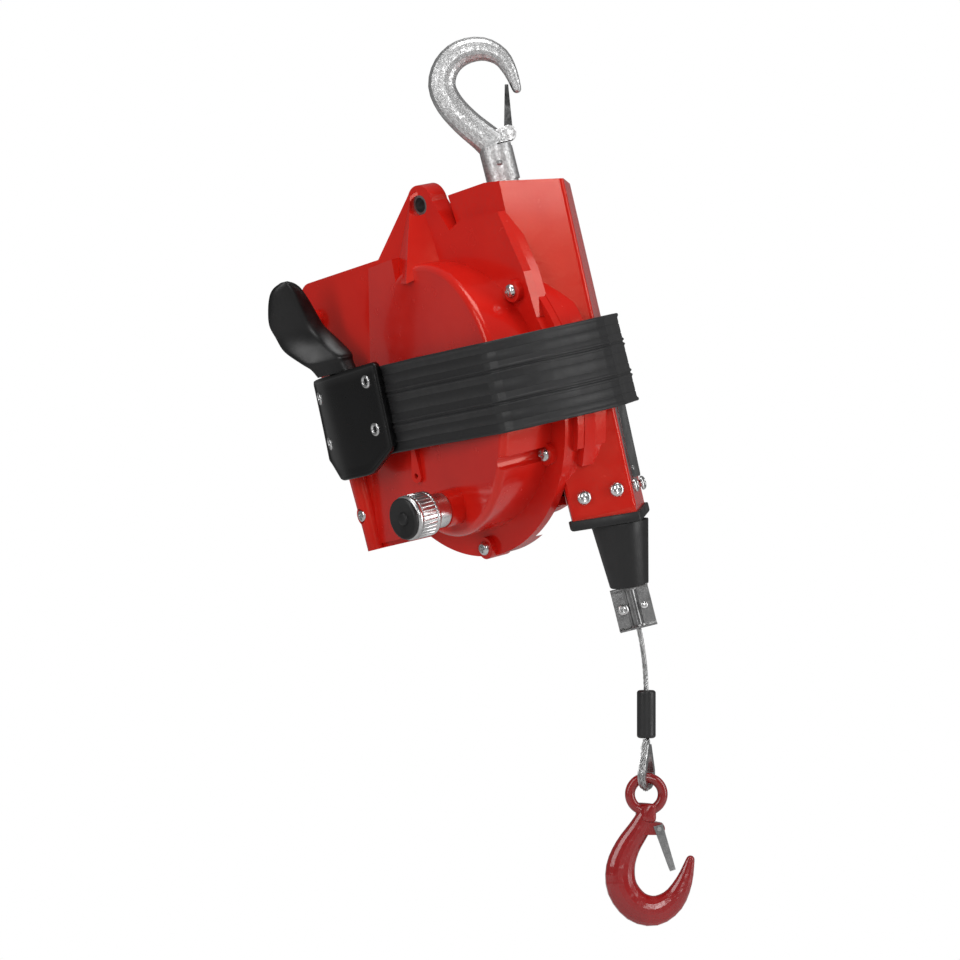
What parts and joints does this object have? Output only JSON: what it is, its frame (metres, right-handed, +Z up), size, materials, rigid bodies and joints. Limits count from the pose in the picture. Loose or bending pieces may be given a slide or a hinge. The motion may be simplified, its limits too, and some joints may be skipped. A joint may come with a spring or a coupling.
{
  "type": "tool balancer",
  "caption": "Spring tool balancer: cast housing with a rope tower, swivel suspension hook, rubber bumper band, drum lock and a wire rope ending in an eye hook.",
  "frame": {"origin": "seat of the suspension hook: the highest point of the inside of its bowl", "axes": "+Z up, against gravity; the drum axis lies near +Y and -Y is the front; +X runs from the drum axis towards the rope. The body leans as it hangs unloaded."},
  "size_m": [0.3394, 0.197, 0.7089],
  "materials": {
    "housing_paint": "gloss",
    "hook_paint": "satin, forged texture",
    "galvanised": "mottled galvanised",
    "zinc_plate": "bright zinc",
    "screw_steel": "zinc plated",
    "nickel": "nickel",
    "latch_chrome": "bright plated",
    "pin_steel": "plain",
    "rope_steel": "stranded",
    "band_rubber": "satin, ribbed",
    "buffer_rubber": "satin",
    "plate_black": "satin",
    "grip_black": "satin",
    "cap_black": "matte",
    "sleeve_black": "satin",
    "knob_steel": "knurled",
    "bush_steel": "plain",
    "drum_alloy": "machined",
    "spring_steel": "blued",
    "guide_plastic": "plain"
  },
  "bodies": {
    "housing": {"front_housing": "housing_paint", "rear_housing": "housing_paint", "lug_bush": "bush_steel", "housing_screws": "screw_steel", "housing_nuts": "screw_steel", "outlet_cap": "cap_black", "rope_guide": "guide_plastic", "rubber_buffer": "buffer_rubber", "outlet_screws": "screw_steel", "drum_axle": "pin_steel", "lock_sleeve": "knob_steel", "bumper_band": "band_rubber", "clamp_plate": "plate_black", "grip_rivets": "nickel", "grip_paddle": "grip_black"},
    "suspension": {"top_hook": "galvanised", "hook_nut": "pin_steel", "thrust_washer": "pin_steel", "top_latch_pin": "pin_steel", "top_latch_spring": "spring_steel"},
    "top_latch": {"top_latch": "galvanised"},
    "drum": {"rope_drum": "drum_alloy", "spring_cover": "drum_alloy", "rope_turns": "rope_steel", "mainspring": "spring_steel", "drum_bearings": "pin_steel"},
    "lock": {"lock_knob": "knob_steel", "knob_cap": "cap_black"},
    "line": {"rope_inside": "rope_steel", "wire_rope": "rope_steel", "clamp_front": "zinc_plate", "clamp_rear": "zinc_plate", "clamp_screws": "screw_steel", "rope_sleeve": "sleeve_black", "rope_eye": "rope_steel", "thimble": "pin_steel"},
    "load_hook": {"load_hook": "hook_paint", "load_latch_pin": "pin_steel"},
    "load_latch": {"load_latch": "latch_chrome"}
  },
  "joints": [
    {"name": "swivel", "type": "hinge", "parent": "housing", "child": "suspension", "pos_m": [0.01203, 0.01485, -0.09565], "axis": [-0.1522, -0.188, 0.9703], "continuous": true},
    {"name": "top_latch_turn", "type": "hinge", "parent": "suspension", "child": "top_latch", "pos_m": [0.01433, 0.0177, -0.05661], "axis": [0.7771, -0.6293, 0], "range_deg": [0, 25], "stiffness_Nm_per_rad": 0.05, "springref_deg": -34.38},
    {"name": "line_pull", "type": "slide", "parent": "housing", "child": "line", "axis": [0.1522, 0.188, -0.9703], "range_m": [0, 0.1], "stiffness_N_per_m": 60, "springref_m": -0.5},
    {"name": "drum_turn", "type": "hinge", "parent": "housing", "child": "drum", "pos_m": [-0.02116, 0.04426, -0.25182], "axis": [-0.0145, 0.9821, 0.188], "range_deg": [-5, 75]},
    {"name": "lock_push", "type": "slide", "parent": "housing", "child": "lock", "axis": [-0.0145, 0.9821, 0.188], "range_m": [0, 0.006], "stiffness_N_per_m": 800, "springref_m": -0.004},
    {"name": "load_hook_swing", "type": "hinge", "parent": "line", "child": "load_hook", "pos_m": [0.10003, 0.08895, -0.57867], "axis": [-0.4848, 0.8746, 0], "range_deg": [-20, 20]},
    {"name": "load_latch_turn", "type": "hinge", "parent": "load_hook", "child": "load_latch", "pos_m": [0.10633, 0.09673, -0.61052], "axis": [-0.7771, 0.6293, 0], "range_deg": [0, 30], "stiffness_Nm_per_rad": 0.05, "springref_deg": -34.38}
  ],
  "couplings": [
    {"joint": "drum_turn", "follows": "line_pull", "rad_per_m": 11.765}
  ]
}
